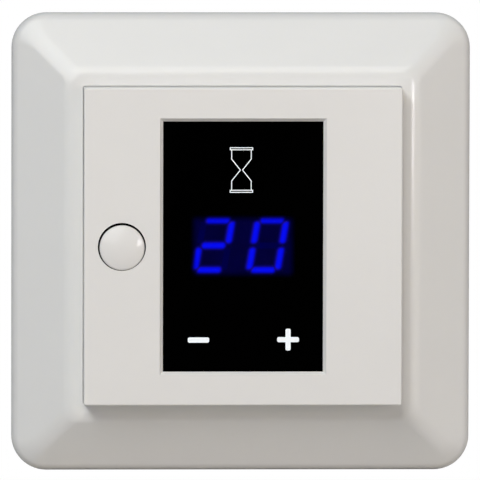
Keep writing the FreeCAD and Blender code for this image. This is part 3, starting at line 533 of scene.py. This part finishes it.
class Finish:
    """A node material: helpers that add nodes and join their sockets."""

    def __init__(self, name):
        self.material = bpy.data.materials.new(name)
        self.material.use_nodes = True
        self.tree = self.material.node_tree
        self.shader = self.tree.nodes["Principled BSDF"]
        self.place = self.node("ShaderNodeTexCoord").outputs["Object"]

    def node(self, kind, **settings):
        made = self.tree.nodes.new(kind)
        for key, value in settings.items():
            setattr(made, key, value)
        return made

    def join(self, source, target):
        self.tree.links.new(source, target)

    def vector(self, operation, source, other=None):
        """A vector worked on by another one given in numbers."""
        made = self.node("ShaderNodeVectorMath", operation=operation)
        self.join(source, made.inputs[0])
        if other is not None:
            made.inputs[1].default_value = other
        return made.outputs["Vector"]

    def math(self, operation, source, other=None):
        """A value worked on by another one, which may be a number or a socket."""
        made = self.node("ShaderNodeMath", operation=operation)
        self.join(source, made.inputs[0])
        if isinstance(other, bpy.types.NodeSocket):
            self.join(other, made.inputs[1])
        elif other is not None:
            made.inputs[1].default_value = other
        return made.outputs[0]

    def noise(self, scale, detail=2.0, stretch=(1, 1, 1)):
        """Noise over the piece's own coordinates, with about scale cells a metre."""
        mapping = self.node("ShaderNodeMapping")
        mapping.inputs["Scale"].default_value = stretch
        self.join(self.place, mapping.inputs["Vector"])
        noise = self.node("ShaderNodeTexNoise")
        noise.inputs["Scale"].default_value = scale
        noise.inputs["Detail"].default_value = detail
        self.join(mapping.outputs["Vector"], noise.inputs["Vector"])
        return noise.outputs["Fac"]

    def mapped(self, source, start, end, low=0.0, high=1.0, rise="LINEAR"):
        """A value carried from the range start to end over to the range low to high."""
        made = self.node("ShaderNodeMapRange", interpolation_type=rise)
        for name, value in (("From Min", start), ("From Max", end), ("To Min", low), ("To Max", high)):
            made.inputs[name].default_value = value
        self.join(source, made.inputs["Value"])
        return made.outputs["Result"]

    def ranged(self, noise, low, high):
        """The middle of a noise's range carried to low and high."""
        return self.mapped(noise, noise_low, noise_high, low, high)

    def blend(self, factor, first, second):
        """A colour between two by a factor; a colour may be numbers or a socket."""
        made = self.node("ShaderNodeMix", data_type="RGBA")
        self.join(factor, made.inputs[0])
        for socket, colour in ((made.inputs[6], first), (made.inputs[7], second)):
            if isinstance(colour, bpy.types.NodeSocket):
                self.join(colour, socket)
            else:
                socket.default_value = (*colour, 1)
        return made.outputs[2]

    def bump(self, height, depth):
        """Relief of the given depth in metres."""
        made = self.node("ShaderNodeBump")
        made.inputs["Distance"].default_value = depth
        self.join(height, made.inputs["Height"])
        self.join(made.outputs["Normal"], self.shader.inputs["Normal"])

    def surface(self, colour, tint=0.03, cells=120, rough=(0.3, 0.4), grain=2500, depth=0.004 * MM,
                stretch=(1, 1, 1), **inputs):
        """The common build: the colour drifts a little, the roughness wanders and a fine grain stands up."""
        drift = self.noise(cells, 3, stretch)
        darker = tuple(c * (1 - tint) for c in colour)
        self.join(self.blend(self.ranged(drift, 0, 1), darker, colour), self.shader.inputs["Base Color"])
        wander = self.noise(cells * 3, 2, stretch)
        self.join(self.ranged(wander, *rough), self.shader.inputs["Roughness"])
        self.bump(self.noise(grain, 1, stretch), depth)
        for key, value in inputs.items():
            self.shader.inputs[key.replace("_", " ").title().replace("Ior", "IOR")].default_value = value
        return self.material


def glossy_white():
    """Glossy moulding: nearly flat, with a trace of the mould's polish."""
    return Finish("glossy_white").surface((0.80, 0.80, 0.79), tint=0.012, cells=60, rough=(0.2, 0.26),
                                          grain=700, depth=0.0006 * MM)


def satin_white():
    """Satin moulding of the front plate, a touch warmer than the frame, with a fine etched grain."""
    return Finish("satin_white").surface((0.788, 0.779, 0.765), tint=0.012, cells=70, rough=(0.42, 0.5),
                                         grain=3500, depth=0.0012 * MM)


def button_white():
    """The button's satin moulding."""
    return Finish("button_white").surface((0.805, 0.795, 0.78), tint=0.012, cells=90, rough=(0.12, 0.16),
                                          grain=3000, depth=0.0003 * MM, specular_ior_level=0.3)


def rectangle_mask(finish, half_wide, half_high, x, z, soft):
    """One inside a rectangle on the wall plane and zero outside, with a soft rim."""
    split = finish.node("ShaderNodeSeparateXYZ")
    finish.join(finish.place, split.inputs[0])
    inside = []
    for axis, centre, half in (("X", x, half_wide), ("Z", z, half_high)):
        away = finish.math("ABSOLUTE", finish.math("SUBTRACT", split.outputs[axis], centre))
        inside.append(finish.mapped(away, half + soft, half - soft, rise="SMOOTHSTEP"))
    return finish.math("MULTIPLY", *inside)


def black_window():
    """Polished black panel, printed black behind except where the display looks through."""
    finish = Finish("black_window")
    finish.surface((0.0001, 0.0001, 0.0001), tint=0.4, cells=200, rough=(0.12, 0.2), grain=1500,
                   depth=0.0002 * MM, specular_ior_level=0.004)
    clear = rectangle_mask(finish, clear_half_wide, clear_half_high, clear_x, clear_z, clear_soft)
    finish.join(finish.mapped(clear, 0, 1, 1.0, clear_smoke), finish.shader.inputs["Alpha"])
    return finish.material


def bar_glow(finish):
    """One on the core of every lit bar. Away from it, e to the minus (distance over width) to the power of
    the fall. The wall plane is sheared first, so that the digits stand upright in it."""
    split = finish.node("ShaderNodeSeparateXYZ")
    finish.join(finish.place, split.inputs[0])
    leant = finish.math("MULTIPLY", split.outputs["Z"], digit_lean)
    flat = finish.node("ShaderNodeCombineXYZ")
    finish.join(finish.math("SUBTRACT", split.outputs["X"], leant), flat.inputs["X"])
    finish.join(split.outputs["Z"], flat.inputs["Z"])
    nearest = None
    for letters, digit_x in lit_letters:
        for letter in letters:
            bar_x, bar_z = bar_middles[letter]
            core = (flat_core, 0, 0) if letter in flat_bars else (0, 0, upright_core)
            middle = (display_place[0] + digit_x + bar_x, 0, display_place[1] + bar_z)
            away = finish.vector("SUBTRACT", flat.outputs[0], middle)
            beyond = finish.vector("SUBTRACT", finish.vector("ABSOLUTE", away), core)
            beyond = finish.vector("MAXIMUM", beyond, (0, 0, 0))
            distance = finish.node("ShaderNodeVectorMath", operation="LENGTH")
            finish.join(beyond, distance.inputs[0])
            distance = distance.outputs["Value"]
            nearest = distance if nearest is None else finish.math("MINIMUM", nearest, distance)
    share = finish.math("POWER", finish.math("DIVIDE", nearest, glow_width), glow_fall)
    return finish.math("EXPONENT", finish.math("MULTIPLY", share, -1))


def lit(name, base, light, low, high, glow, cells):
    """A coloured plastic that shines unevenly between two strengths, and more towards the lit bars."""
    finish = Finish(name)
    finish.surface(base, tint=0.1, cells=300, rough=(0.4, 0.5), specular_ior_level=0.02)
    finish.shader.inputs["Emission Color"].default_value = (*light, 1)
    even = finish.ranged(finish.noise(cells), low, high)
    near = finish.math("MULTIPLY", bar_glow(finish), glow)
    finish.join(finish.math("ADD", even, near), finish.shader.inputs["Emission Strength"])
    return finish.material


def segment_lit():
    """A lit bar of the display."""
    return lit("segment_lit", (0.0, 0.0, 0.02), (0.002, 0.004, 1.0), 0.04, 0.07, 1.66, 500)


def segment_dark():
    """An unlit bar, which the light inside the display still reaches."""
    return lit("segment_dark", (0.0, 0.0, 0.004), (0.004, 0.002, 1.0), 0.09, 0.12, 1.15, 400)


def display_black():
    """The display's face, washed with a little of its own light."""
    return lit("display_black", (0.0, 0.0, 0.003), (0.02, 0.01, 1.0), 0.05, 0.07, 1.15, 300)


def sign_white():
    """White print on the window, lit from behind."""
    finish = Finish("sign_white")
    finish.surface((0.85, 0.86, 0.86), tint=0.02, cells=600, rough=(0.5, 0.6), grain=4000,
                   depth=0.0005 * MM)
    finish.shader.inputs["Emission Color"].default_value = (0.65, 0.85, 1.0, 1)
    finish.join(finish.ranged(finish.noise(900), 0.23, 0.27), finish.shader.inputs["Emission Strength"])
    return finish.material


def plastic(name, colour, rough=(0.45, 0.6), tint=0.08, grain=2500, depth=0.004 * MM, shine=0.5):
    """Moulded plastic of the hidden parts."""
    return Finish(name).surface(colour, tint=tint, cells=150, rough=rough, grain=grain, depth=depth,
                                specular_ior_level=shine)


def metal(name, colour, rough=(0.25, 0.4), tint=0.12, stretch=(1, 1, 6)):
    """Drawn, rolled or plated metal with its lines along one axis."""
    return Finish(name).surface(colour, tint=tint, cells=250, rough=rough, grain=1800, depth=0.003 * MM,
                                stretch=stretch, metallic=1.0)


def board_green():
    """Solder mask over copper tracks: bands of two greens that follow a warped grid."""
    finish = Finish("board_green")
    finish.surface((0.02, 0.12, 0.05), tint=0.1, cells=120, rough=(0.3, 0.4))
    tracks = finish.node("ShaderNodeTexVoronoi", feature="DISTANCE_TO_EDGE", distance="EUCLIDEAN")
    tracks.inputs["Scale"].default_value = track_scale
    finish.join(finish.place, tracks.inputs["Vector"])
    between = finish.mapped(tracks.outputs["Distance"], track_edge_start, track_edge_end)
    finish.join(finish.blend(between, (0.015, 0.09, 0.04), (0.03, 0.16, 0.07)),
                finish.shader.inputs["Base Color"])
    return finish.material


def finishes():
    """Every material slot of the record with its finish."""
    return {
        "glossy_white": glossy_white(),
        "satin_white": satin_white(),
        "button_white": button_white(),
        "black_window": black_window(),
        "black_tape": plastic("black_tape", (0.02, 0.02, 0.02), rough=(0.6, 0.8)),
        "spring_steel": metal("spring_steel", (0.62, 0.62, 0.64)),
        "switch_black": plastic("switch_black", (0.03, 0.03, 0.03)),
        "plunger_white": plastic("plunger_white", (0.75, 0.74, 0.70)),
        "display_black": display_black(),
        "segment_lit": segment_lit(),
        "segment_dark": segment_dark(),
        "tinned_pins": metal("tinned_pins", (0.72, 0.71, 0.68)),
        "board_green": board_green(),
        "chip_black": plastic("chip_black", (0.04, 0.04, 0.045)),
        "chassis_grey": plastic("chassis_grey", (0.30, 0.30, 0.31)),
        "zinc_steel": metal("zinc_steel", (0.66, 0.67, 0.68), rough=(0.28, 0.42)),
        "housing_grey": plastic("housing_grey", (0.10, 0.10, 0.105), grain=1800, depth=0.01 * MM),
        "relay_black": plastic("relay_black", (0.03, 0.03, 0.035), rough=(0.3, 0.4)),
        "film_box": plastic("film_box", (0.70, 0.55, 0.12)),
        "can_sleeve": plastic("can_sleeve", (0.05, 0.06, 0.14), rough=(0.25, 0.35)),
        "varistor_blue": plastic("varistor_blue", (0.08, 0.22, 0.50), rough=(0.25, 0.35)),
        "fuse_brown": plastic("fuse_brown", (0.16, 0.09, 0.06)),
        "ferrite_grey": plastic("ferrite_grey", (0.12, 0.12, 0.13), rough=(0.6, 0.8)),
        "copper_alloy": metal("copper_alloy", (0.78, 0.60, 0.32)),
        "screw_steel": metal("screw_steel", (0.70, 0.70, 0.70)),
    }


def dress_solids(finish_of_slot):
    """Gives each solid of the frame the finish of its slot in the record."""
    slot_of = {part["node"]: part["material_slot"] for part in frame["record"]["subparts"]}
    for name, solid in nodes.items():
        for place in solid.material_slots:
            place.material = finish_of_slot[slot_of[name]]


def light(name, azimuth, elevation, distance, side, power, colour):
    """A soft square light that faces the switch."""
    lamp = bpy.data.lights.new(name, "AREA")
    lamp.shape = "SQUARE"
    lamp.size = side
    lamp.energy = power
    lamp.color = colour
    made = bpy.data.objects.new(name, lamp)
    away = from_angles(azimuth, elevation)
    made.location = away * distance
    made.rotation_euler = away.to_track_quat("Z", "Y").to_euler()
    bpy.context.scene.collection.objects.link(made)
    return made


def studio_lights():
    """Lights that shade the mouldings and throw shadows, and others that are only mirrored in the gloss."""
    for row in shading_lights:
        light(*row).visible_glossy = False
    for row in mirrored_lights:
        made = light(*row)
        made.visible_diffuse = False
        made.visible_camera = False


def from_angles(azimuth, elevation):
    """The direction from the switch to a place: azimuth 0 is straight in front and positive to the right."""
    a, e = math.radians(azimuth), math.radians(elevation)
    return Vector((math.sin(a) * math.cos(e), -math.cos(a) * math.cos(e), math.sin(e)))


def room():
    """White behind the switch for the eye. Its light is brighter behind the wall plane than in front."""
    world = bpy.data.worlds.new("studio")
    bpy.context.scene.world = world
    world.use_nodes = True
    tree = world.node_tree
    tree.nodes.clear()
    seen = tree.nodes.new("ShaderNodeBackground")
    seen.inputs["Color"].default_value = (1, 1, 1, 1)
    seen.inputs["Strength"].default_value = 1.0
    around = tree.nodes.new("ShaderNodeBackground")
    around.inputs["Color"].default_value = room_tint
    direction = tree.nodes.new("ShaderNodeTexCoord")
    split = tree.nodes.new("ShaderNodeSeparateXYZ")
    strength = tree.nodes.new("ShaderNodeMapRange")
    strength.inputs["From Min"].default_value = 0.0
    strength.inputs["From Max"].default_value = glow_change
    strength.inputs["To Min"].default_value = front_glow
    strength.inputs["To Max"].default_value = behind_glow
    tree.links.new(direction.outputs["Generated"], split.inputs[0])
    tree.links.new(split.outputs["Y"], strength.inputs["Value"])
    tree.links.new(strength.outputs["Result"], around.inputs["Strength"])
    path = tree.nodes.new("ShaderNodeLightPath")
    mix = tree.nodes.new("ShaderNodeMixShader")
    out = tree.nodes.new("ShaderNodeOutputWorld")
    tree.links.new(path.outputs["Is Camera Ray"], mix.inputs[0])
    tree.links.new(around.outputs[0], mix.inputs[1])
    tree.links.new(seen.outputs[0], mix.inputs[2])
    tree.links.new(mix.outputs[0], out.inputs[0])


def floor():
    """A plain pale floor under the frame's lower edge, white to the eye and see-through from below."""
    mesh = bpy.data.meshes.new("floor")
    corners = [(-floor_half, -floor_half), (floor_half, -floor_half), (floor_half, floor_half),
               (-floor_half, floor_half)]
    mesh.from_pydata([(x, y, frame_low[2]) for x, y in corners], [], [(0, 1, 2, 3)])
    made = bpy.data.objects.new("floor", mesh)
    bpy.context.scene.collection.objects.link(made)
    material = bpy.data.materials.new("pale_floor")
    material.use_nodes = True
    tree = material.node_tree
    tree.nodes.clear()
    pale = tree.nodes.new("ShaderNodeBsdfDiffuse")
    pale.inputs["Color"].default_value = floor_tint
    seen = tree.nodes.new("ShaderNodeEmission")
    seen.inputs["Color"].default_value = (1, 1, 1, 1)
    gone = tree.nodes.new("ShaderNodeBsdfTransparent")
    path = tree.nodes.new("ShaderNodeLightPath")
    side = tree.nodes.new("ShaderNodeNewGeometry")
    by_ray = tree.nodes.new("ShaderNodeMixShader")
    by_side = tree.nodes.new("ShaderNodeMixShader")
    out = tree.nodes.new("ShaderNodeOutputMaterial")
    tree.links.new(path.outputs["Is Camera Ray"], by_ray.inputs[0])
    tree.links.new(pale.outputs[0], by_ray.inputs[1])
    tree.links.new(seen.outputs[0], by_ray.inputs[2])
    tree.links.new(side.outputs["Backfacing"], by_side.inputs[0])
    tree.links.new(by_ray.outputs[0], by_side.inputs[1])
    tree.links.new(gone.outputs[0], by_side.inputs[2])
    tree.links.new(by_side.outputs[0], out.inputs[0])
    mesh.materials.append(material)


def camera():
    """The photograph's camera: far away, a little to the left and above."""
    lens = bpy.data.cameras.new("camera")
    lens.lens = camera_lens
    lens.sensor_width = camera_film
    lens.clip_start, lens.clip_end = camera_nearest, camera_farthest
    made = bpy.data.objects.new("camera", lens)
    away = from_angles(camera_azimuth, camera_elevation)
    made.location = Vector(camera_target) + away * camera_distance
    roll = Matrix.Rotation(math.radians(camera_roll), 4, "Z")
    made.rotation_euler = (away.to_track_quat("Z", "Y").to_matrix().to_4x4() @ roll).to_euler()
    bpy.context.scene.collection.objects.link(made)
    bpy.context.scene.camera = made


slots = finishes()
dress_solids(slots)
cover_frame(slots["glossy_white"])
button(slots["button_white"])
# The near-black ring paints shade into the button's gap
button_gap_shade(plastic("painted_gap_shade", (0.003, 0.003, 0.003), rough=(0.85, 0.95), shine=0.05))
window_panel(slots["black_window"])
print_white = sign_white()
minus_sign(print_white)
plus_sign(print_white)
hourglass_sign(print_white)

studio_lights()
room()
floor()
camera()
bpy.context.scene.view_settings.view_transform = "Standard"
